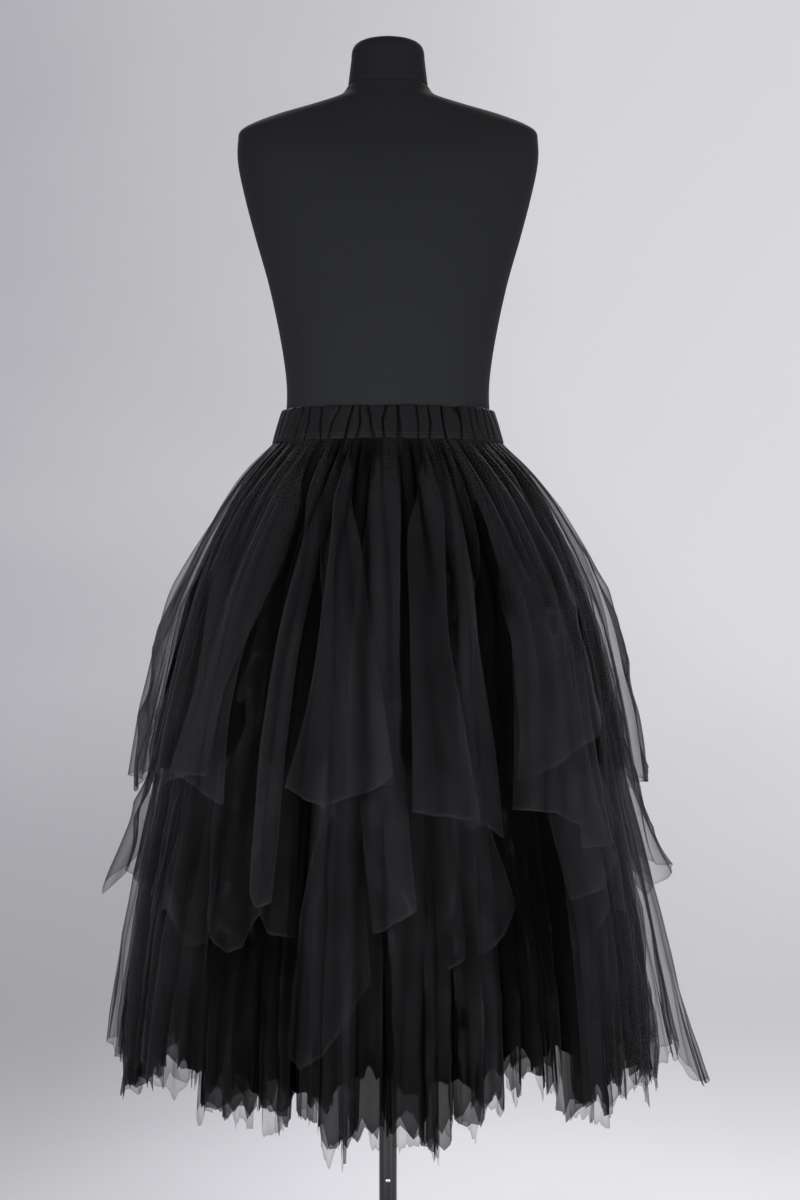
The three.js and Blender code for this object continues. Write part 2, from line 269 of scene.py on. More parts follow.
def net_finish(name, ply_cover, thread_cover, dark, light, waist, edge, body=None, sheen=0.04):
    """Black net. Its cover rises where it is seen at a slant, as more threads then cross the sight line.

    Ply_cover and thread_cover are the cover at a hole and at a thread. Dark and light are the tones that
    clouds and wisps mix. Waist is painted light near the waistband, edge a painted highlight along cut edges
    and crests, and body painted shade for the upper part of plies whose lower ends alone catch the light.
    """
    finish = Finish(name)
    cloth = finish.node("ShaderNodeUVMap", {"uv_map": "cloth"})
    across = finish.axis(cloth, 0)
    along = finish.axis(cloth, 1)
    turn_rate = math.pi / NET_PITCH
    first_threads = ((across + along) * turn_rate).math("SINE").math("ABSOLUTE")
    second_threads = ((across - along) * turn_rate).math("SINE").math("ABSOLUTE")
    hole = first_threads.math("MINIMUM", second_threads)
    slant = finish.node("ShaderNodeLayerWeight", {}, {"Blend": 0.5}, "Facing")
    upright = (1.0 - slant).math("MAXIMUM", LEAST_UPRIGHT)
    crowded = finish.height(0.78, 0.95).math("MAXIMUM", slant * 0.8)
    open_share = (hole * 1.9).math("MINIMUM", 1.0) * (1.0 - crowded) + crowded * MEAN_OPEN
    cover = thread_cover + open_share * (ply_cover - thread_cover)
    through = (1.0 - cover) ** (1.0 / upright)
    line = finish.mark("lines")
    opacity = 1.0 - through * (1.0 - (line ** 3.0) * 0.3)
    cloud = finish.noise(finish.object_place(), 8.0, 1.0)
    drawn = finish.node("ShaderNodeMapping", {}, {"Vector": cloth, "Scale": (1.0, 0.22, 1.0)})
    wisps = (finish.noise(drawn, 60.0, 3.0) - 0.5) * 3.4 * (1.0 - crowded)
    # Painted light: the net is lighter near the waistband.
    painted_light_near_waist = finish.height(0.9, 1.02) ** 1.5
    tone = finish.blend((cloud + wisps).clamped(), dark, light)
    tone = finish.blend(painted_light_near_waist, tone, waist)
    # Painted shade: the upper part of a ply, hidden beneath the tier above, is darkened.
    if body:
        tone = finish.blend(finish.height(0.3, 0.46), tone, body)
    # Painted highlight along cut edges and crests.
    tone = finish.blend((line ** 2.0) * 0.8, tone, edge)
    finish.set({
        # Painted shade deep in the fold valleys.
        "Base Color": finish.blend(finish.mark("valleys"), tone, DEEP_SHADE),
        "Roughness": 0.6,
        "Specular IOR Level": sheen,
        "Sheen Weight": sheen,
        "Sheen Roughness": 0.4,
        "Sheen Tint": (0.75, 0.78, 0.85, 1),
        "Alpha": opacity,
    })
    return finish.material


def under_net_shade_finish():
    """The many plies beneath, through which no light comes: painted near black as their shade, painted
    lighter near the waistband, and darkest in fold valleys.
    """
    finish = Finish("net_beneath_painted_shade")
    place = finish.object_place()
    fine = finish.noise(place, 260.0, 1.0)
    painted_light_near_waist = finish.height(0.88, 1.02) ** 2.0
    # Painted shade that lifts to painted light near the waistband.
    tone = finish.blend(painted_light_near_waist, (0.0006, 0.0006, 0.0007), (0.0036, 0.0036, 0.0041))
    finish.set({
        "Base Color": finish.blend(finish.mark("valleys"), tone, DEEPEST_SHADE),
        "Roughness": 0.8,
        "Specular IOR Level": 0.02,
        "Normal": finish.bump(fine, 1.0 * MM, 0.5),
    })
    return finish.material


def jersey_finish():
    """Matt charcoal jersey with a fine knit and a faint nap."""
    finish = Finish("form_jersey")
    place = finish.object_place()
    knit = finish.noise(place, 900.0, 1.0)
    cloud = finish.noise(place, 6.0, 4.0)
    finish.set({
        "Base Color": finish.blend(cloud, (0.0115, 0.012, 0.0132), (0.0135, 0.014, 0.0152)),
        "Roughness": 0.86 + (knit - 0.5) * 0.2,
        "Specular IOR Level": 0.06,
        "Sheen Weight": 0.02,
        "Sheen Roughness": 0.5,
        "Normal": finish.bump(knit, 0.35 * MM, 0.5),
    })
    return finish.material


def band_finish():
    """Closely woven black cloth with a soft sheen."""
    finish = Finish("band_cloth")
    place = finish.object_place()
    rib = finish.node("ShaderNodeTexNoise", {}, {
        "Vector": finish.node("ShaderNodeMapping", {}, {"Vector": place, "Scale": (1.0, 1.0, 3.0)}),
        "Scale": 700.0, "Detail": 1.0}, "Fac")
    cloud = finish.noise(place, 30.0, 3.0)
    tone = finish.blend(cloud, (0.0052, 0.0052, 0.0059), (0.0068, 0.0069, 0.0077))
    finish.set({
        # Painted shade deep in the grooves.
        "Base Color": finish.blend(finish.mark("valleys"), tone, (0.0006, 0.0006, 0.0007)),
        "Roughness": 0.55 + (rib - 0.5) * 0.2,
        "Specular IOR Level": 0.06,
        "Sheen Weight": 0.03,
        "Sheen Roughness": 0.4,
        "Normal": finish.bump(rib, 0.2 * MM, 0.5),
    })
    return finish.material


def thread_finish():
    finish = Finish("black_thread")
    place = finish.object_place()
    twist = finish.noise(place, 2500.0, 1.0)
    finish.set({
        "Base Color": finish.blend(twist, (0.003, 0.003, 0.0034), (0.006, 0.006, 0.0068)),
        "Roughness": 0.45 + twist * 0.3,
        "Sheen Weight": 0.05,
        "Normal": finish.bump(twist, 0.1 * MM, 0.6),
    })
    return finish.material


def paint_finish():
    """Satin black powder coat with a fine orange peel."""
    finish = Finish("stand_paint")
    place = finish.object_place()
    peel = finish.noise(place, 420.0, 2.0)
    wear = finish.noise(place, 14.0, 4.0)
    finish.set({
        "Base Color": finish.blend(wear, (0.006, 0.0062, 0.0068), (0.011, 0.0112, 0.012)),
        "Metallic": 0.0,
        "Roughness": 0.38 + (wear - 0.5) * 0.2,
        "Normal": finish.bump(peel, 0.12 * MM, 0.5),
    })
    return finish.material


def steel_finish():
    finish = Finish("bright_steel")
    place = finish.object_place()
    brushed = finish.noise(place, 1200.0, 2.0)
    finish.set({
        "Base Color": (0.55, 0.55, 0.56, 1),
        "Metallic": 1.0,
        "Roughness": 0.25 + brushed * 0.2,
    })
    return finish.material


def stage_finish():
    """Pale grey paper, lighter to the right and upwards, as the photograph's wall is."""
    finish = Finish("studio_paper")
    place = finish.object_place()
    cloud = finish.noise(place, 0.9, 4.0)
    across = finish.axis(place, 0)
    up = finish.axis(place, 2)
    # Painted light: the paper is lighter to the right and upwards.
    right = across * 0.45 + 0.24 + (cloud - 0.5) * 0.35 + up.math("MINIMUM", 1.2) * 0.4
    paint = finish.blend(right.clamped(), (0.60, 0.597, 0.632), (0.93, 0.928, 0.945))
    # Painted shade: darker low on the left.
    painted_shade_low_left = (-0.1 - across).clamped(high=0.5) * (1.0 - up * 1.6).math("MAXIMUM", 0.0)
    paint = finish.blend(painted_shade_low_left * 0.9, paint, (0.36, 0.358, 0.372))
    behind = finish.node("ShaderNodeNewGeometry", output="Backfacing")
    finish.set({
        "Base Color": paint,
        "Roughness": 0.95,
        "Specular IOR Level": 0.1,
        "Emission Color": paint,
        "Emission Strength": 0.345,
        "Alpha": 1.0 - behind,  # a view from outside the wall looks through it
    })
    return finish.material


# Curves, noise and meshes

# Lines is 1 along cut edges and sharp crests, where the net is a little denser and painted lighter as a
# painted highlight, and valleys is 1 deep in folds and grooves, where the cloth is painted darker as painted
# shade.
Grid = namedtuple("Grid", "points flat lines valleys")


def smooth_curve(places, values, x):
    """Values at x of a smooth curve through the rows of a table, whose places may run up or down."""
    p, v = np.array(places, float), np.array(values, float)
    if p[0] > p[-1]:
        p, v = p[::-1], v[::-1]
    slopes = np.empty_like(v)
    slopes[1:-1] = (v[2:] - v[:-2]) / (p[2:] - p[:-2])
    slopes[0] = (v[1] - v[0]) / (p[1] - p[0])
    slopes[-1] = (v[-1] - v[-2]) / (p[-1] - p[-2])
    x = np.clip(x, p[0], p[-1])
    i = np.clip(np.searchsorted(p, x, side="right") - 1, 0, len(p) - 2)
    span = p[i + 1] - p[i]
    t = (x - p[i]) / span
    t2, t3 = t * t, t * t * t
    start = (2 * t3 - 3 * t2 + 1) * v[i] + (t3 - 2 * t2 + t) * span * slopes[i]
    return start + (3 * t2 - 2 * t3) * v[i + 1] + (t3 - t2) * span * slopes[i + 1]


def ease(low, high, x):
    """From 0 at low to 1 at high, with soft ends."""
    t = np.clip((x - low) / (high - low), 0, 1)
    return t * t * (3 - 2 * t)


LATTICE = 64


def soft_noise(seed, x, y):
    """Smooth noise from -1 to 1 over a lattice of unit cells, the same for the same seed."""
    grid = np.random.RandomState(seed).uniform(-1, 1, (LATTICE, LATTICE))
    x, y = np.broadcast_arrays(np.asarray(x, float), np.asarray(y, float))
    i, j = np.floor(x).astype(int), np.floor(y).astype(int)
    fx, fy = x - i, y - j
    fx, fy = fx * fx * (3 - 2 * fx), fy * fy * (3 - 2 * fy)
    corner = lambda di, dj: grid[(i + di) % LATTICE, (j + dj) % LATTICE]  # noqa: E731
    low = corner(0, 0) * (1 - fx) + corner(1, 0) * fx
    high = corner(0, 1) * (1 - fx) + corner(1, 1) * fx
    return low * (1 - fy) + high * fy


def link_piece(name, mesh, material, stands_for=None):
    piece = bpy.data.objects.new(name, mesh)
    mesh.materials.append(material)
    bpy.context.scene.collection.objects.link(piece)
    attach(piece, "root")
    if stands_for:
        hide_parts(stands_for)
    return piece


def grid_faces(rows, columns, wrap_across, wrap_down):
    """The corners of each cell of a grid, which may close on itself either way."""
    cells_down, cells_across = rows - (not wrap_down), columns - (not wrap_across)
    r, c = np.meshgrid(np.arange(cells_down), np.arange(cells_across), indexing="ij")
    below, right = (r + 1) % rows, (c + 1) % columns
    corners = [(r, c), (below, c), (below, right), (r, right)]
    return np.stack([row * columns + column for row, column in corners], -1).reshape(-1, 4)


def grid_mesh(name, grids, wrap_across=False, wrap_down=False):
    """One mesh of grids of points, each points[row][column] with rows going down and columns to the right."""
    faces, start = [], 0
    for grid in grids:
        rows, columns = grid.points.shape[:2]
        faces.append(grid_faces(rows, columns, wrap_across, wrap_down) + start)
        start += rows * columns
    faces = np.concatenate(faces)
    points = np.concatenate([grid.points.reshape(-1, 3) for grid in grids])
    mesh = bpy.data.meshes.new(name)
    mesh.vertices.add(len(points))
    mesh.vertices.foreach_set("co", (points * MM).ravel())
    mesh.loops.add(faces.size)
    mesh.loops.foreach_set("vertex_index", faces.ravel().astype(np.int32))
    mesh.polygons.add(len(faces))
    mesh.polygons.foreach_set("loop_start", np.arange(0, faces.size, 4, dtype=np.int32))
    mesh.polygons.foreach_set("use_smooth", np.ones(len(faces), bool))
    mesh.update(calc_edges=True)
    if grids[0].flat is not None:
        flat = np.concatenate([grid.flat.reshape(-1, 2) for grid in grids])
        layer = mesh.uv_layers.new(name="cloth")
        layer.data.foreach_set("uv", (flat[faces.ravel()] * MM).ravel())
    for mark in ("lines", "valleys"):
        if getattr(grids[0], mark) is not None:
            values = np.concatenate([getattr(grid, mark).ravel() for grid in grids])
            attribute = mesh.attributes.new(mark, "FLOAT", "POINT")
            attribute.data.foreach_set("value", values.astype(np.float32))
    mesh.validate()
    return mesh


def closed_mesh(name, points, valleys=None, wrap_down=False):
    return grid_mesh(name, [Grid(points, None, None, valleys)], wrap_across=True, wrap_down=wrap_down)


def round_point(turn, half, depth, z):
    """Points round an oval, as an array with x, y and z last."""
    a = np.radians(turn)
    x, y, z = np.broadcast_arrays(half * np.sin(a), -depth * np.cos(a), z)
    return np.stack([x, y, z], -1)


# The dress form

Section = namedtuple("Section", "z half back front square")
FORM_SECTIONS = tuple(Section(*row) for row in (
    (800, 128, 84, 80, 2.0),
    (806, 148, 100, 94, 2.0),
    (830, 164, 113, 104, 2.0),
    (880, 172, 119, 108, 2.0),
    (940, 168, 114, 106, 2.0),
    (1000, 150, 103, 102, 2.0),
    (1051, 133, 96, 98, 2.0),
    (1092, 127, 93, 96, 2.0),
    (1130, 127, 93, 97, 2.0),
    (1185, 135, 95, 104, 2.05),
    (1250, 149, 99, 117, 2.1),
    (1310, 166, 103, 128, 2.15),
    (1360, 179, 103, 122, 2.3),
    (1400, 187, 96, 104, 2.5),
    (1428, 187, 84, 86, 2.6),
    (1442, 182, 77, 78, 2.4),
    (1458, 147, 70, 71, 2.1),
    (1472, 99, 63, 64, 2.0),
    (1484, 62, 56, 57, 2.0),
    (1497, 50, 50, 50, 2.0),
))
NECK_SECTIONS = tuple(Section(*row) for row in (
    (1497.3, 50, 50, 50, 2.0),
    (1530, 46, 46, 46, 2.0),
    (1544, 44, 44, 44, 2.0),
    (1552, 36, 36, 36, 2.0),
    (1557, 18, 18, 18, 2.0),
))
FORM_COLUMNS = 160
SEAM_WIDTH = 1.6
SEAM_DEPTH = 0.7
# Panel seams of the cover: the turn of each at the shoulder and at the waist.
FORM_SEAMS = ((62, 46), (-62, -46), (90, 90), (-90, -90), (118, 132), (-118, -132), (180, 180))


def seam_groove(turn, z, half):
    """How far the cover dips beside its seams."""
    share = ease(1140, 1400, z)
    dip = np.zeros(np.broadcast(turn, z).shape)
    for at_shoulder, at_waist in FORM_SEAMS:
        seam = at_waist + (at_shoulder - at_waist) * share
        away = np.radians((turn - seam + 180) % 360 - 180) * half
        dip += SEAM_DEPTH * np.exp(-((away / SEAM_WIDTH) ** 2))
    return dip


def section_points(sections, heights, columns, seams):
    """Points of the form's skin at each height, and round it."""
    column = {f: np.array([getattr(s, f) for s in sections], float) for f in Section._fields}
    turn = np.arange(columns)[None, :] * 360 / columns
    z = np.asarray(heights, float)[:, None]
    half, back, front, square = (smooth_curve(column["z"], column[f], z) for f in Section._fields[1:])
    a = np.radians(turn)
    bend = lambda v: np.sign(v) * np.abs(v) ** (2 / square)  # noqa: E731
    depth = np.where(np.cos(a) > 0, back, front)
    dip = seam_groove(turn, z, half) if seams else 0
    x, y, z = np.broadcast_arrays((half - dip) * bend(np.sin(a)), -(depth - dip) * bend(np.cos(a)), z)
    return np.stack([x, y, z], -1)


def close_ends(points):
    """Adds rows that shrink to the middle, so that a skin has a closed top and bottom."""
    def cap(row):
        middle = row.mean(0)
        return [middle + (row - middle) * share for share in (0.66, 0.33, 0.002)]
    return np.concatenate([cap(points[0])[::-1], points, cap(points[-1])])


def add_form(material):
    heights = np.concatenate([np.linspace(1497, 1400, 44), np.linspace(1396, 812, 120), [808, 806, 803, 800]])
    torso = close_ends(section_points(FORM_SECTIONS, heights, FORM_COLUMNS, True))
    link_piece("form_cover", closed_mesh("form_cover", torso), material, "form_torso")
    neck_heights = [1557, 1556.6, 1555.8, 1554.6, 1553, *np.linspace(1551, 1500, 24), 1498.4, 1497.4]
    neck = section_points(NECK_SECTIONS, neck_heights, 64, False)
    neck[-1, :, :2] *= 0.985
    neck[-2, :, :2] *= 0.995
    cap = closed_mesh("neck_cover", close_ends(neck))
    link_piece("neck_cover", cap, material, "form_neck_cap")


# The waistband

BAND_COLUMNS = BAND_PUCKERS * 22
BAND_THICKNESS = 5.6
BAND_ROUNDING = 1.1
GROOVE_DEPTH = 5.0
BAND_TOP_HALF, BAND_TOP_DEPTH = 127.5, 94.0
BAND_SEAM_HALF, BAND_SEAM_DEPTH = 139.0, 105.4


def pucker_phase(turn):
    """Counts the puckers round the band, which are wider here and narrower there."""
    a = np.radians(turn)
    uneven = 0.25 * np.sin(5 * a + 1) + 0.13 * np.sin(11 * a + 2.4) + 0.06 * np.sin(23 * a)
    return BAND_PUCKERS * turn / 360 + uneven


def band_profile():
    """Round the casing's wall: the share of its height, the share of its thickness and the rounding."""
    arc = np.linspace(0, math.pi, 5)
    over = [(1, (1 - math.cos(a)) / 2, math.sin(a)) for a in arc]
    outside = [(s, 1, 0) for s in np.linspace(1, 0, 15)[1:-1]]
    under = [(0, (1 + math.cos(a)) / 2, -math.sin(a)) for a in arc]
    inside = [(s, 0, 0) for s in np.linspace(0, 1, 4)[1:-1]]
    return np.array(over + outside + under + inside)


def add_waistband(material):
    """The elastic casing: flat puffs of cloth between sharp grooves, rounded over at both edges."""
    turn = np.arange(BAND_COLUMNS)[None, :] * 360 / BAND_COLUMNS
    up, wall, rounding = (column[:, None] for column in band_profile().T)
    lean = 0.5 * soft_noise(5, turn / 9, 0) * (up - 0.5) + 0.16 * soft_noise(6, turn / 6, up * 2)
    phase = pucker_phase(turn) + lean
    which = np.round(phase).astype(int) % BAND_PUCKERS
    chance = np.random.RandomState(3)
    deep = chance.uniform(0.6, 1.0, BAND_PUCKERS)[which]
    narrow = chance.uniform(0.07, 0.11, BAND_PUCKERS)[which]
    runs_from = chance.uniform(-0.7, 0.15, BAND_PUCKERS)[which]
    away = phase - np.round(phase)
    groove = np.exp(-((away / narrow) ** 2)) * deep * ease(runs_from - 0.25, runs_from + 0.2, up)
    swell = 0.6 * np.abs(np.sin(math.pi * away)) - 0.3 * np.maximum(soft_noise(8, turn / 2.5, up * 2), 0)
    out = wall * (BAND_THICKNESS - GROOVE_DEPTH * groove + swell * np.sin(math.pi * up) ** 0.5)
    half = BAND_TOP_HALF + (BAND_SEAM_HALF - BAND_TOP_HALF) * (1 - up) + out
    depth = BAND_TOP_DEPTH + (BAND_SEAM_DEPTH - BAND_TOP_DEPTH) * (1 - up) + out
    depth = depth + 1.5 * (np.cos(np.radians(turn)) < 0) * up
    scallop = 0.8 * soft_noise(11, turn / 5, 0) - 0.9 * groove * wall
    z = BAND_BOTTOM + 1 + (BAND_HEIGHT - 2.2) * up + BAND_ROUNDING * rounding + scallop * (2 * up - 1)
    points = round_point(turn, half, depth, z)
    # The grooves' depth is kept for the band finish, which paints shade there.
    mesh = closed_mesh("waistband_cloth", points, groove * wall, wrap_down=True)
    band = link_piece("waistband_cloth", mesh, material, "waistband")
    return points[np.argmin(np.abs(up[:, 0] - STITCH_HEIGHT) + 9 * (1 - wall[:, 0]))]


STITCH_HEIGHT = 0.14  # of the band's height
STITCHES = 264
STITCH_LENGTH = 2.2
STITCH_THICKNESS = 0.22
STITCH_SCALES = (0.85, 1.1)  # the smallest and the largest stitch


def stitch_nodes(material):
    """Geometry Nodes that lay stitches end to end along a closed path."""
    tree = bpy.data.node_groups.new("stitch_row", "GeometryNodeTree")
    sockets = (
        ("Path", "INPUT", "Geometry"), ("Stitches", "INPUT", "Int"), ("Length", "INPUT", "Float"),
        ("Thickness", "INPUT", "Float"), ("Seed", "INPUT", "Int"), ("Row", "OUTPUT", "Geometry"),
    )
    for name, side, kind in sockets:
        tree.interface.new_socket(name, in_out=side, socket_type=f"NodeSocket{kind}")
    names = {
        "group": "NodeGroupInput", "row": "NodeGroupOutput", "curve": "GeometryNodeMeshToCurve",
        "spread": "GeometryNodeResampleCurve", "tangent": "GeometryNodeInputTangent",
        "turn": "FunctionNodeAlignRotationToVector", "chance": "FunctionNodeRandomValue",
        "thread": "GeometryNodeMeshCylinder", "lay": "GeometryNodeInstanceOnPoints",
        "real": "GeometryNodeRealizeInstances", "paint": "GeometryNodeSetMaterial",
    }
    made = {key: tree.nodes.new(kind) for key, kind in names.items()}
    made["chance"].data_type = "FLOAT"
    low, high = [s for s in made["chance"].inputs if s.name in ("Min", "Max") and s.type == "VALUE"]
    low.default_value, high.default_value = STITCH_SCALES
    made["thread"].inputs["Vertices"].default_value = 6
    made["paint"].inputs["Material"].default_value = material
    links = (
        ("group", "Path", "curve", "Mesh"),
        ("curve", "Curve", "spread", "Curve"),
        ("group", "Stitches", "spread", "Count"),
        ("spread", "Curve", "lay", "Points"),
        ("tangent", "Tangent", "turn", "Vector"),
        ("turn", "Rotation", "lay", "Rotation"),
        ("group", "Seed", "chance", "Seed"),
        ("group", "Length", "thread", "Depth"),
        ("group", "Thickness", "thread", "Radius"),
        ("thread", "Mesh", "lay", "Instance"),
        ("lay", "Instances", "real", "Geometry"),
        ("real", "Geometry", "paint", "Geometry"),
        ("paint", "Geometry", "row", "Row"),
    )
    for start, output, end, given in links:
        tree.links.new(made[start].outputs[output], made[end].inputs[given])
    scale = next(s for s in made["chance"].outputs if s.type == "VALUE")
    tree.links.new(scale, made["lay"].inputs["Scale"])
    return tree


def add_stitches(seam, material):
    """The row of stitches that closes the casing, just above its lower edge."""
    outward = seam * (1, 1, 0)
    seam = seam + 0.1 * outward / np.linalg.norm(outward, axis=-1, keepdims=True)
    count = len(seam)
    path = bpy.data.meshes.new("stitch_path")
    path.from_pydata((seam * MM).tolist(), [(i, (i + 1) % count) for i in range(count)], [])
    row = bpy.data.objects.new("band_stitches", path)
    bpy.context.scene.collection.objects.link(row)
    tree = stitch_nodes(material)
    modifier = row.modifiers.new("stitches", "NODES")
    modifier.node_group = tree
    values = {
        "Stitches": STITCHES, "Length": STITCH_LENGTH * MM, "Thickness": STITCH_THICKNESS * MM, "Seed": 7,
    }
    for socket in tree.interface.items_tree:
        if socket.name in values:
            modifier[socket.identifier] = values[socket.name]
    evaluated = row.evaluated_get(bpy.context.evaluated_depsgraph_get())
    mesh = bpy.data.meshes.new_from_object(evaluated)
    bpy.data.objects.remove(row)
    mesh.materials.clear()
    link_piece("band_stitches", mesh, material)


# The net

HEIGHTS = (NET_TOP, 1004, 954, 904, 854, 804, 754, 704, 654, 604, 554, 504, 454, 354, 254, 200)
HALF_WIDTHS = (134.6, 156, 172, 187, 200, 211, 221, 230, 239, 247, 255, 263, 271, 285, 296, 300)
DEPTH_SHARES = (
    0.75, 0.77, 0.8, 0.83, 0.86, 0.875, 0.885, 0.895, 0.9, 0.905, 0.91, 0.915, 0.92, 0.92, 0.92, 0.92,
)
STANDS = {
    "under": (0,) * 16,
    "long": (2.4, 10, 15, 18, 21, 23, 25, 26, 27, 29, 32, 34, 35, 33, 30, 28),
    "middle": (5.7, 18, 27, 34, 40, 43, 45, 46, 46, 47, 50, 52, 51, 49, 47, 46),
    "top": (9, 26.5, 40, 51, 60, 64, 66, 67, 66, 64, 64, 64, 64, 64, 64, 64),
}

# Folds that run down the net. All plies nest in the large ones and in the pleats below the waistband, and
# each has fine gathers of its own. Depths and distances below the waist are in millimetres.
FOLDS = 24
FOLD_DEPTH = 6.5
FOLD_FULL = 200
Train = namedtuple("Train", "count depth starts full fades ends")
PLEATS = Train(58, 5.5, -16, 14, 60, 280)
GATHERS = Train(97, 1.0, -30, 6, 22, 70)
PLEAT_SEED = 61
FOLD_REACH = 420  # the distance down the net over which a ply's own folds change
TRAIN_REACH = 240  # the same for pleats and gathers
SIDE_ROLL = 6  # how far the sides of a ply turn in
ROLL_SHARE = 0.045  # of the ply's width
FORM_GAP = 3.0  # how far in a ply may go before it would touch the form, down to the hips
HIPS_BELOW = 170  # where the form is widest, below the waist
FRILL_SPACING = 3.0
FRILL_REACH = 170  # how far above the hem the frill of fine folds begins
MEAN_RADIUS = 250  # of the skirt, which sets the scale of the cloth's weave across
CREASE_ACROSS, CREASE_DOWN = 48, 66  # the spacing of the slanting creases

# A ply of net, whose node is the number of the panel that it dresses. Left and right are the turns of its
# sides at even steps from the waist to the hem. Edge has the heights of the cut edge at even steps across,
# and out how far those stand beyond the tier. Lift is how far the ply lies off the tier, crown how far its
# middle stands out, folds how many folds of its own it has, depth how deep these are, crumple how deep its
# creases are, frill how much its end is frilled, and nest how much of the nested folds it takes.
Ply = namedtuple("Ply", "node left right edge lift crown folds depth out crumple frill nest")


def ply(node, left, right, edge, lift, crown=7, folds=3, depth=1.5, out=(0, 0), crumple=0.5, frill=0,
        nest=1):
    return Ply(node, left, right, edge, lift, crown, folds, depth, out, crumple, frill, nest)


def cone(node, apex, foot, widths, edge, *values, **more):
    """A ply round a middle line that runs from apex to foot, both turns, with its widths at even steps."""
    middles = np.linspace(apex, foot, len(widths))
    left = tuple(m - w / 2 for m, w in zip(middles, widths))
    right = tuple(m + w / 2 for m, w in zip(middles, widths))
    return ply(node, left, right, edge, *values, **more)


# The plies. The columns of ply are node, left, right, edge, lift, crown, folds and depth, and those of cone
# node, apex, foot, widths, edge, lift, crown, folds and depth. The front ones hang as the photograph shows.
TOP_FRONT = (
    ply(4, (-62, -70, -63, -65, -71), (-47, -55, -48, -46, -49), (690, 668, 655, 640, 652), 4, 7, 3, 3),
    ply(4, (-49, -57.5, -52, -50, -53.5), (-36, -30, -33, -39.5, -42.5), (655, 654, 653, 653, 654), 9, 9, 2.4,
        2.4),
    ply(4, (-46, -50, -50, -52, -56), (-34, -34, -37, -39, -38), (654, 650, 640, 630, 622), -3, 7, 3, 2.4),
    ply(5, (-32, -26, -27.5, -29, -29), (-27, -21, -22, -23, -23.5), (560, 528, 511, 510, 515), 2, 6, 1.2,
        2.4),
    ply(5, (-20, -16.4, -16.4, -18, -21.5), (-17, -9.8, -5, -1.3, 1.3), (645, 634, 625, 636, 643, 659), 11, 9,
        2.6, 1.8, out=(3, 0, 0, 2, 5)),
    ply(5, (-2, -7, -8.5, -9, -9), (7, 4, 3.2, 2.8, 2.8), (640, 648, 642, 650, 655), -2, 5, 2, 1.8),
    ply(6, (17, 7, 5.8, 5.6, 5.5), (20, 12, 9, 10, 11), (619, 617, 615), 7, 3, 1, 1.2),
    ply(6, (18, 9, 7, 6, 5.5), (23, 16.7, 14.6, 16.6, 18.7), (619, 616, 613, 611, 610), 11, 8, 1.6, 1.8,
        out=(0, 0, 2, 4, 6)),
    ply(6, (24, 20, 18, 16, 17), (28.3, 25, 23, 25, 26), (598, 604, 600, 590, 585), 2, 5, 2.2, 2.4),
    ply(7, (27, 31.5, 30, 30, 29), (62, 52, 53, 54, 56), (652, 668, 684, 704, 735), 13, 16, 1.6, 2.4,
        crumple=5.5),
    ply(7, (30, 33, 33, 31, 29), (48, 50, 50, 49, 48), (618, 615, 610, 600, 592), -2, 7, 2, 2.4),
    ply(7, (66, 57, 51, 46.5, 45.5), (78, 64, 56, 53, 57.5), (569, 571, 573, 570, 562), 5, 6, 1.5, 2.4,
        out=(0, 4, 6, 4, 0)),
    ply(8, (60, 62, 60, 58, 58), (84, 80, 77, 76, 76), (650, 634, 628, 634, 640), 6, 7, 4, 3),
    ply(8, (78, 76, 74, 74, 74), (109, 110, 110, 111, 112), (640, 632, 628, 622, 640), 9, 7, 2, 3, crumple=5,
        nest=0.3),
    ply(3, (-109, -110, -111, -112, -112), (-66, -70, -68, -68, -70), (650, 622, 616, 634, 650), 3, 7, 2, 3,
        crumple=5, nest=0.3),
)
TOP_HIDDEN = (
    cone(3, -80, -92, (12, 15, 19, 24, 30), (640, 628, 640, 655), 3),
    cone(2, -118, -116, (8, 11, 15, 20, 25), (618, 634, 612, 628), 10, 9, 2.4),
    cone(2, -132, -136, (7, 9, 12, 16, 20), (650, 606, 640, 655), 7, 8, 2),
    cone(2, -126, -128, (38, 38, 39, 40, 42), (640, 625, 645, 630), -3, 7, 5),
    cone(1, -150, -149, (6, 8, 12, 17, 22), (622, 611, 630, 640), 11, 9, 2.2),
    cone(1, -172, -168, (7, 10, 14, 18, 22), (600, 625, 612, 640), 7, 8, 2),
    cone(1, -162, -163, (38, 38, 38, 39, 40), (640, 630, 650, 630), -3, 7, 5),
    cone(10, 150, 154, (7, 9, 12, 16, 20), (610, 630, 618, 650), 10, 9, 2),
    cone(10, 170, 172, (6, 9, 13, 19, 24), (630, 612, 640, 655), 8, 8, 2.5),
    cone(10, 162, 162, (38, 38, 38, 39, 40), (650, 640, 655, 640), -3, 7, 5),
    cone(9, 116, 120, (8, 11, 15, 20, 26), (655, 610, 600, 640), 10, 9, 2.6),
    cone(9, 134, 138, (7, 9, 12, 17, 21), (620, 640, 615, 650), 6, 8, 2),
    cone(9, 126, 128, (38, 38, 38, 39, 41), (650, 630, 655, 635), -3, 7, 5),
)
# Plies deep in the gaps between the front panels. They take the doubled net, whose dark colour is painted
# shade.
TOP_FILLERS = (
    cone(3, -88, -92, (42, 41, 40, 40, 40), (655, 640, 660, 650), -24, 7, 6),
    cone(4, -53, -55, (38, 38, 40, 42, 44), (668, 650, 672, 660), -14, 7, 5),
    cone(5, -18, -15, (38, 36, 34, 32, 30), (676, 664, 680, 668), -14, 7, 5),
    cone(6, 18, 14, (38, 36, 32, 28, 26), (680, 662, 650, 664), -14, 7, 5),
    cone(7, 54, 46, (38, 38, 38, 38, 40), (650, 640, 655, 662), -14, 7, 5),
    cone(8, 90, 88, (42, 42, 42, 44, 46), (660, 650, 644, 655), -24, 7, 6),
)
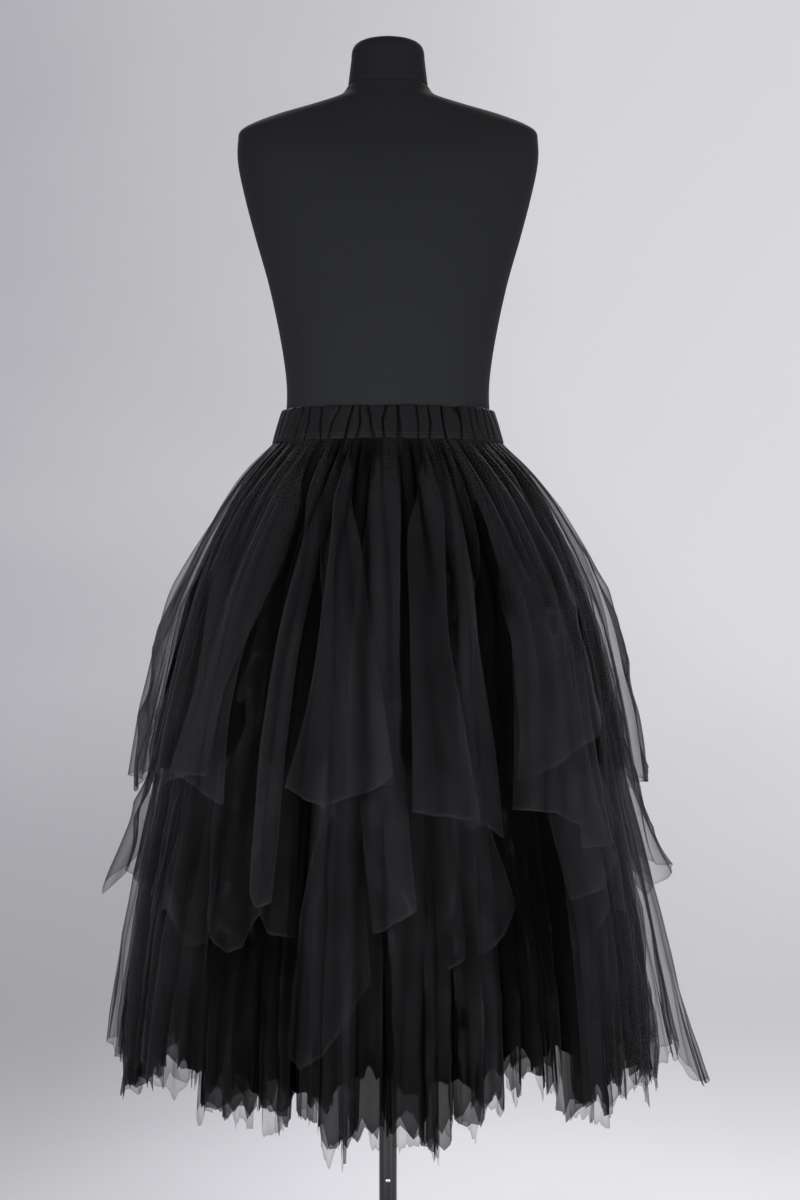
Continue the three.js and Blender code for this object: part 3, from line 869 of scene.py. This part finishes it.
MIDDLE_FRONT = (
    ply(4, (-86, -86, -86, -90, -96), (-50, -52, -54, -56, -58), (540, 490, 530, 520, 500), 4, 7, 5, 3,
        crumple=3.5, out=(8, 24, 6, 0, 0)),
    ply(4, (-62, -60, -58, -57, -60), (-46, -42, -42, -44, -41), (520, 480, 500, 455, 462), 3, 7, 3, 2.4,
        crumple=5),
    ply(5, (-49.5, -45, -40, -44, -41), (-35.5, -33, -31, -30, -26.5), (520, 470, 455, 462, 505), 1, 7, 2.5,
        2.4, crumple=5),
    ply(5, (-42, -36, -30, -29.5, -29), (-29, -26, -22, -21, -20), (520, 500, 482, 478, 474), -4, 7, 2, 2.4),
    ply(5, (-30, -19, -12, -17.5, -19.5), (-22, -14.5, -8.8, -5.5, -3), (345, 337, 352, 395, 430), 8, 10, 2.6,
        2.4, crumple=4, out=(0, 4, 2, 0, 0)),
    ply(6, (-8, -7, -6, -6, -2.7), (5, 4.3, 3.4, 4.2, 5.8), (484, 488, 496, 504, 511), 7, 8, 1.6, 2.4,
        crumple=4, out=(2, 0, 0, 4, 8)),
    ply(7, (16, 13, 9.7, 10, 10.7), (27, 21, 15.4, 15.4, 16), (440, 445, 452, 458), 3, 6, 1.4, 2.4,
        crumple=4),
    ply(7, (22, 18, 13.4, 12, 18), (35.5, 29, 22, 21, 26.6), (461, 470, 490, 515), 9, 9, 1.8, 2.4, crumple=5,
        out=(0, 2, 6, 12)),
    ply(8, (58, 50, 42, 39.5, 43), (80, 72, 62.7, 59.7, 64), (508, 520, 540, 556, 570), 6, 8, 2.4, 2.4,
        out=(0, 2, 6, 8, 6)),
    ply(8, (62, 60, 56, 50, 50), (90, 84, 78, 72, 70), (470, 500, 486, 510, 530), 0, 7, 4, 3),
    ply(9, (80, 78, 74, 70, 70), (125, 124, 120, 112, 107), (560, 532, 526, 495, 520), 4, 7, 5, 3,
        crumple=3.5, out=(0, 8, 42, 10, 0)),
    ply(3, (-127, -128, -129, -130, -131), (-84, -86, -88, -90, -93), (520, 480, 470, 500, 535), 3, 7, 6, 3.6,
        out=(0, 4, 8, 4, 0)),
)
MIDDLE_HIDDEN = (
    cone(2, -140, -140, (9, 12, 16, 21, 26), (500, 462, 520, 500), 8, 9, 3),
    cone(2, -148, -150, (38, 38, 39, 39, 38), (520, 460, 500, 530), 0, 7, 6, 3.6),
    cone(1, -172, -176, (9, 12, 15, 20, 25), (470, 510, 455, 500), 8, 9, 3),
    cone(1, -184, -185, (38, 38, 40, 41, 42), (520, 470, 510, 480), 0, 7, 6, 3.6),
    cone(10, 150, 136, (9, 12, 15, 20, 25), (500, 450, 505, 465), 8, 9, 3),
    cone(10, 145, 132, (38, 40, 44, 48, 51), (515, 460, 500, 520), 0, 7, 6, 3.6),
    cone(9, 116, 104, (9, 12, 16, 21, 26), (520, 480, 500, 540), 8, 9, 3),
)
LONG_SIDES = (
    cone(3, -90, -90, (40, 40, 42, 44, 46), (300, 284, 296, 286, 310), 6, 7, 7, 3.6, out=(0, 4, 10, 2, 0),
        frill=1),
    cone(4, -60, -58, (34, 34, 33, 32, 30), (300, 284, 306, 292, 310), 5, 7, 5, 3.6, out=(0, 2, 4, 2, 0),
        frill=1),
    cone(8, 84, 82, (36, 36, 38, 40, 42), (306, 290, 272, 296, 306), 14, 7, 6, 3.6, out=(4, 32, 46, 12, 0),
        frill=1),
    cone(7, 60, 58, (26, 26, 26, 28, 28), (290, 276, 290, 270, 284), 8, 7, 4, 3.6, frill=1),
)

# The strips that the hem parts into, by the turns of their sides at the hem, the height where they end and
# how many plies lie there on each other
Strip = namedtuple("Strip", "node left right bottom lift plies")
FRONT_STRIPS = tuple(Strip(*row) for row in (
    (4, -66, -55, 304, 3, 2),
    (4, -56, -46, 306, 0, 2),
    (4, -46.5, -41, 298, -3, 2),
    (4, -41.5, -34.5, 270, 2, 4),
    (4, -35.5, -28.5, 272, -2, 4),
    (5, -26.5, -21, 268, 0, 4),
    (5, -21.8, -20.9, 258, 0, 2),
    (5, -18.5, -15, 266, -4, 2),
    (5, -15.5, -12, 280, -2, 3),
    (5, -12.5, -7, 243, 3, 3),
    (5, -8.8, -8, 232, 2, 2),
    (5, -6.5, -1, 254, -1, 3),
    (6, 1.2, 7.7, 250, 2, 4),
    (6, 8.3, 13.2, 246, -1, 3),
    (6, 9.6, 10.6, 236, -1, 2),
    (6, 14.4, 19.5, 270, 2, 3),
    (6, 19.5, 25.2, 276, -2, 3),
    (7, 26, 29, 298, -3, 3),
    (7, 30.3, 34.8, 308, -5, 3),
    (7, 35.2, 39, 300, -3, 3),
    (7, 41.5, 47, 262, 1, 3),
    (7, 47, 53, 258, 2, 4),
    (8, 53.5, 62, 284, 8, 3),
    (8, 62, 74, 296, 10, 2),
))
HIDDEN_STRIPS_FROM, HIDDEN_STRIPS_TO = 74, 292  # the turns between which the strips lie on the hidden sides


def stations(values, share):
    """Straight lines between values that stand at even steps from 0 to 1."""
    return np.interp(share, np.linspace(0, 1, len(values)), values)


def side_curve(turns, v):
    return smooth_curve(np.linspace(0, 1, len(turns)), turns, v)


def fold_wave(seed, u, count, below, reach):
    """The phase and the fullness of folds that wander, part and close up a little on their way down."""
    wander = 0.45 * soft_noise(seed, u * count * 0.55, below / reach)
    fullness = 0.65 + 0.5 * soft_noise(seed + 1, u * count * 0.6, below / reach)
    return 2 * math.pi * (count * u + wander + 0.37 * seed), np.maximum(fullness, 0.12)


def crest_line(phase):
    return ((1 + np.cos(phase)) / 2) ** 9


def valley(phase):
    return ((1 - np.cos(phase)) / 2) ** 2


def nested_folds(turn):
    """The wave of the large folds, from -1 to 1, wider here and narrower there."""
    a = np.radians(turn)
    uneven = 0.8 * np.sin(3 * a + 0.5) + 0.5 * np.sin(5 * a + 2)
    return np.sin(FOLDS * a + uneven) * (0.82 + 0.18 * np.sin(4 * a + 1))


def train_share(train, fullness, below):
    """How much of a train's depth its folds have, at a distance below the waist."""
    grown = ease(train.starts, train.full, below) * (0.35 + 0.65 * ease(0, 30, below))
    return fullness * grown * (1 - ease(train.fades, train.ends, below))


def net_grid(tier, row, columns, rows, seed):
    """The points of one ply, its flat places on the cloth, and its lines and valleys."""
    u = np.linspace(0, 1, columns + 1)[None, :]
    u = 0.5 * u + 0.5 * (0.5 - 0.5 * np.cos(math.pi * u))  # columns lie closer at the sides
    v = np.linspace(0, 1, rows + 1)[:, None]
    v = 0.75 * v + 0.25 * v * v  # rows lie closer at the waist
    edge = stations(row.edge, u) + 2 * soft_noise(seed + 40, u * 9, 0.5)
    if row.frill:
        edge = edge + 17 * row.frill * soft_noise(seed + 41, u * 7, 3)
        edge = edge + 9 * row.frill * soft_noise(seed + 42, u * 23, 5)
    z = NET_TOP - (NET_TOP - edge) * v
    below = NET_TOP - z
    left, right = side_curve(row.left, v), side_curve(row.right, v)
    turn = left + (right - left) * u
    span = float(np.max(right - left))
    base = smooth_curve(HEIGHTS, HALF_WIDTHS, z)
    share = smooth_curve(HEIGHTS, DEPTH_SHARES, z)
    stand = smooth_curve(HEIGHTS, STANDS[tier], z)
    stand = stand + row.lift * np.clip(below / 80, 0.05, 1) + stations(row.out, u) * v ** 5
    radius = base * (1 + share) / 2 + stand
    open_share = ease(15, FOLD_FULL, below)
    stand = stand + FOLD_DEPTH * row.nest * open_share * nested_folds(turn)
    stand = stand + row.crown * np.sin(math.pi * u) ** 0.8 * open_share
    roll = np.exp(-((u / ROLL_SHARE) ** 2)) + np.exp(-(((1 - u) / ROLL_SHARE) ** 2))
    stand = stand - SIDE_ROLL * roll * ease(10, 120, below)
    # Lines mark where the finish paints highlights, and valleys where it paints shade in the folds.
    lines = np.zeros(np.broadcast(z, u).shape)
    valleys = 0.45 * row.nest * open_share * np.clip(-nested_folds(turn), 0, 1) ** 2
    phase, fullness = fold_wave(seed, u, row.folds, below, FOLD_REACH)
    depth = row.depth * fullness * open_share
    stand = stand + depth * np.cos(phase)
    sideways = 0.9 * depth * np.sin(phase)
    lines = lines + 0.6 * open_share * fullness * crest_line(phase)
    valleys = valleys + 0.6 * open_share * fullness * valley(phase)
    for k, (train, crest) in enumerate(((PLEATS, 0.3), (GATHERS, 0))):
        phase, fullness = fold_wave(PLEAT_SEED + 9 * k, turn / 360, train.count, below, TRAIN_REACH)
        part = row.nest * train_share(train, fullness, below)
        stand = stand + train.depth * part * np.cos(phase)
        sideways = sideways + 0.35 * train.depth * part * np.sin(phase)
        lines = lines + crest * part * crest_line(phase)
        valleys = valleys + 1.1 * part * valley(phase)
    if row.frill:
        count = max(span / FRILL_SPACING, 1.5)
        phase, fullness = fold_wave(seed + 20, u, count, below, 150)
        part = row.frill * fullness * ease(FRILL_REACH, 20, NET_TOP - edge - below)
        stand = stand + 3.6 * part * np.cos(phase)
        sideways = sideways - 2.0 * part * np.sin(phase)
        lines = lines + 0.35 * part * crest_line(phase)
        valleys = valleys + 0.8 * part * valley(phase)
    along = u * np.radians(span) * MEAN_RADIUS
    slant = along + 0.35 * below
    down = below - 0.4 * along
    crush = 1 - 2.3 * np.abs(soft_noise(seed + 30, slant / CREASE_ACROSS, down / CREASE_DOWN))
    crushed = min(row.crumple / 3, 1) * ease(60, 240, below)
    stand = stand + row.crumple * crush * ease(30, 200, below)
    # Painted highlights on crease crests and painted shade in crease hollows.
    lines = lines + 0.75 * crushed * ease(0.75, 1, crush)
    valleys = valleys + 0.35 * crushed * np.clip(0.2 - crush, 0, 1)
    stand = np.maximum(stand, -FORM_GAP - np.clip(below - HIPS_BELOW, 0, None) / 4)
    turn = turn + np.degrees(sideways / radius)
    points = round_point(turn, base + stand, base * share + stand, z)
    flat = np.stack(np.broadcast_arrays(along, below), -1)
    # Cut edges get the painted highlight.
    lines[:, 0] = lines[:, -1] = 1
    lines[-1, :] = 1
    return Grid(points, flat, np.clip(lines, 0, 1), np.clip(valleys + 0 * lines, 0, 1))


def strip_ply(strip, seed):
    """A narrow ply, wider than its strip at the top, with a ragged end."""
    chance = np.random.RandomState(seed)
    spread = chance.uniform(0.5, 2.5, 2)
    left = (strip.left - 1, strip.left - 1.5, strip.left - spread[0], strip.left - 0.6, strip.left)
    right = (strip.right + 1, strip.right + 1.5, strip.right + spread[1], strip.right + 0.6, strip.right)
    edge = tuple(strip.bottom + step for step in chance.uniform(-14, 16, 6))
    width = strip.right - strip.left
    folds = max(1.2, width / 4)
    return ply(strip.node, left, right, edge, strip.lift, 4, folds, 2.6, crumple=3.5, frill=0.55)


def hidden_strips():
    """Strips on the sides that the photograph doesn't show, as uneven as those in front."""
    chance = np.random.RandomState(21)
    turn = HIDDEN_STRIPS_FROM
    strips = []
    while turn < HIDDEN_STRIPS_TO:
        width = chance.uniform(4.5, 10)
        node = int(((turn + 180) % 360) // 36) + 1
        bottom = chance.uniform(256, 304)
        strips.append(Strip(node, turn, turn + width, bottom, chance.uniform(-4, 4), chance.randint(2, 5)))
        turn += width + chance.uniform(-1.2, 1.4)
    return strips


def mesh_area(points):
    down = points[1:, :-1] - points[:-1, :-1]
    across = points[:-1, 1:] - points[:-1, :-1]
    return float(np.linalg.norm(np.cross(down, across), axis=-1).sum())


def add_net_piece(name, grids, node, length, material):
    """One piece of net of one or more plies. Its flat length, the longest ply's, and its width are worked out
    but not kept.
    """
    mesh = grid_mesh(name, grids)
    piece = link_piece(name, mesh, material, node)
    area = sum(mesh_area(grid.points) for grid in grids)
    round(area / length * MM, 2)
    round(length * MM, 2)


# Turns between which the strips lie in deep shade, and the nodes whose middle plies do. Their plies take
# darker copies of the net finish, painted shade.
DARK_TURNS = ((-180, -144), (-66, -19), (26, 53), (108, 144))
SHADED_NODES = (1, 4, 5, 7)


def in_shade(strip):
    middle = ((strip.left + strip.right) / 2 + 180) % 360 - 180
    return any(low <= middle <= high for low, high in DARK_TURNS)


COLUMNS_PER_DEGREE = 2.1
FEWEST_COLUMNS, MOST_COLUMNS = 26, 96


def add_plies(kind, tier, plies, first_seed, rows, material, shaded=None):
    """A piece for each ply, numbered from 01. In the nodes that lie in shade it gets the shaded finish."""
    for i, row in enumerate(plies):
        widest = max(right - left for left, right in zip(row.left, row.right))
        columns = int(np.clip(COLUMNS_PER_DEGREE * widest, FEWEST_COLUMNS, MOST_COLUMNS))
        grid = net_grid(tier, row, columns, rows, first_seed + 7 * i)
        finish = shaded if shaded and row.node in SHADED_NODES else material
        node = f"{tier}_panel_{row.node:02d}"
        add_net_piece(f"{kind}_{i + 1:02d}", [grid], node, NET_TOP - min(row.edge), finish)


UNDER_GORES = 10
# The heights of the under net's hem at even steps across each gore, from a turn of 0 on
UNDER_HEMS = (
    (322, 296, 318, 330, 340),
    (335, 325, 300, 305, 322),
    (322, 310, 326, 304, 330),
    (325, 300, 318, 332, 312),
    (314, 328, 302, 320, 308),
    (318, 306, 330, 312, 300),
    (304, 324, 310, 330, 318),
    (318, 302, 326, 308, 324),
    (330, 322, 312, 298, 304),
    (306, 304, 300, 314, 322),
)


def strip_grids(strips, columns, rows, shape_seed, fold_seed):
    """Grids of strips that come with their numbers, which set their chances."""
    plies = [(k, strip_ply(strip, shape_seed + k)) for k, strip in strips]
    return [net_grid("long", row, columns, rows, fold_seed + k) for k, row in plies]


def add_long_tier(sheer, dark, doubled_in_painted_shade):
    """The strips that the hem parts into, and the plies beneath each."""
    strips = list(FRONT_STRIPS) + hidden_strips()
    for node in range(1, UNDER_GORES + 1):
        panel = f"long_panel_{node:02d}"
        own = [strip for strip in strips if strip.node == node]
        # Strips in the dark turns take the darker copy of the net, painted shade.
        for kind, finish in (("hem", sheer), ("dark", dark)):
            chosen = [(k, strip) for k, strip in enumerate(own) if in_shade(strip) == (kind == "dark")]
            if chosen:
                grids = strip_grids(chosen, 18, 62, 900 + 31 * node, 1000 + 31 * node)
                add_net_piece(f"{kind}_strips_{node:02d}", grids, panel, NET_TOP - 240, finish)
        # The plies beneath each strip take the doubled net, whose dark colour is painted shade.
        inner = []
        for strip in own:
            for step in range(1, strip.plies):
                left, right = strip.left - 0.8 * step, strip.right + 0.4 * step
                bottom, lift = strip.bottom + 7 * step, strip.lift - 6 * step
                inner.append(strip._replace(left=left, right=right, bottom=bottom, lift=lift))
        if inner:
            grids = strip_grids(enumerate(inner), 8, 52, 1300 + 31 * node, 1400 + 31 * node)
            add_net_piece(f"inner_strips_{node:02d}", grids, panel, NET_TOP - 250, doubled_in_painted_shade)


def add_under_layer(under_net_in_painted_shade):
    span = 360 / UNDER_GORES
    for i, hem in enumerate(UNDER_HEMS):
        side = i * span
        row = ply(i + 1, (side - 1,) * 3, (side + span + 1,) * 3, hem, 0, 0, 5, 1.5, frill=1)
        grid = net_grid("under", row, 60, 60, 1700 + 7 * i)
        add_net_piece(f"under_net_{i + 1:02d}", [grid], f"under_gore_{i + 1:02d}", NET_TOP - min(hem), under_net_in_painted_shade)


def add_net(sheer, shaded, dark, doubled_in_painted_shade, under_net_in_painted_shade):
    """Every ply of the skirt, tier by tier."""
    add_plies("top_net", "top", TOP_FRONT + TOP_HIDDEN, 100, 84, sheer)
    add_plies("top_filler", "top", TOP_FILLERS, 400, 60, doubled_in_painted_shade)
    add_plies("middle_net", "middle", MIDDLE_FRONT + MIDDLE_HIDDEN, 600, 90, sheer, shaded)
    add_plies("long_net", "long", LONG_SIDES, 800, 120, sheer)
    add_long_tier(sheer, dark, doubled_in_painted_shade)
    add_under_layer(under_net_in_painted_shade)


# The stand

BUTTON_RADIUS = 3.2
BUTTON_RISE = 1.6
BUTTON_HEIGHT = 133
BUTTON_RINGS, BUTTON_SIDES = 8, 24


def add_stand(paint, steel):
    """The pole and base keep their solids. A spring button shows on the pole below the hem."""
    for node in ("stand_pole", "stand_base"):
        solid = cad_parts[node]
        solid.data.materials.clear()
        solid.data.materials.append(paint)
    a = np.arange(BUTTON_SIDES) * 2 * math.pi / BUTTON_SIDES
    points = []
    for ring in range(BUTTON_RINGS + 1):
        s = ring / BUTTON_RINGS * math.pi / 2
        spread = BUTTON_RADIUS * math.sin(s) + 0.001
        y = -POLE_RADIUS + 0.4 - BUTTON_RISE * math.cos(s)
        row = np.stack([spread * np.cos(a), np.full(BUTTON_SIDES, y), BUTTON_HEIGHT + spread * np.sin(a)], -1)
        points.append(row)
    link_piece("pole_button", closed_mesh("pole_button", np.array(points)), steel)


scene = bpy.context.scene
scene.view_settings.view_transform = "Standard"
scene.cycles.transparent_max_bounces = 48
scene.cycles.diffuse_bounces = 1
scene.cycles.glossy_bounces = 1

add_camera()
add_lights()
add_stage(stage_finish())
add_form(jersey_finish())
add_stitches(add_waistband(band_finish()), thread_finish())
add_net(
    net_finish("net_single", 0.2, 0.34, (0.0145, 0.0148, 0.0161), (0.0245, 0.025, 0.0272),
               (0.0175, 0.0178, 0.0192), (0.028, 0.029, 0.0315)),
    # A darker copy of the net for middle plies in shade: painted shade.
    net_finish("net_shaded", 0.22, 0.36, (0.0055, 0.0057, 0.0064), (0.0128, 0.0131, 0.0143),
               (0.0145, 0.0148, 0.016), (0.021, 0.0217, 0.0236)),
    # A darker copy of the net for strips in shade: painted shade, near black on its upper part.
    net_finish("net_long_painted_shade", 0.18, 0.31, (0.0125, 0.0128, 0.014), (0.019, 0.0195, 0.0215),
               (0.013, 0.0133, 0.0145), (0.016, 0.0165, 0.018), (0.0015, 0.0015, 0.0018), 0.012),
    # Denser doubled net whose near-black colour is painted shade, lighter near the waistband as painted
    # light.
    net_finish("net_doubled_painted_shade", 0.6, 0.85, (0.001, 0.001, 0.0012), (0.002, 0.002, 0.0023),
               (0.0046, 0.0046, 0.0052), (0.003, 0.003, 0.0034), sheen=0.01),
    under_net_shade_finish(),
)
add_stand(paint_finish(), steel_finish())

sizes = {
    "cad": [list(corner) for corner in cad_bounds],
    "visual": [list(corner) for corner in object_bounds()],
}
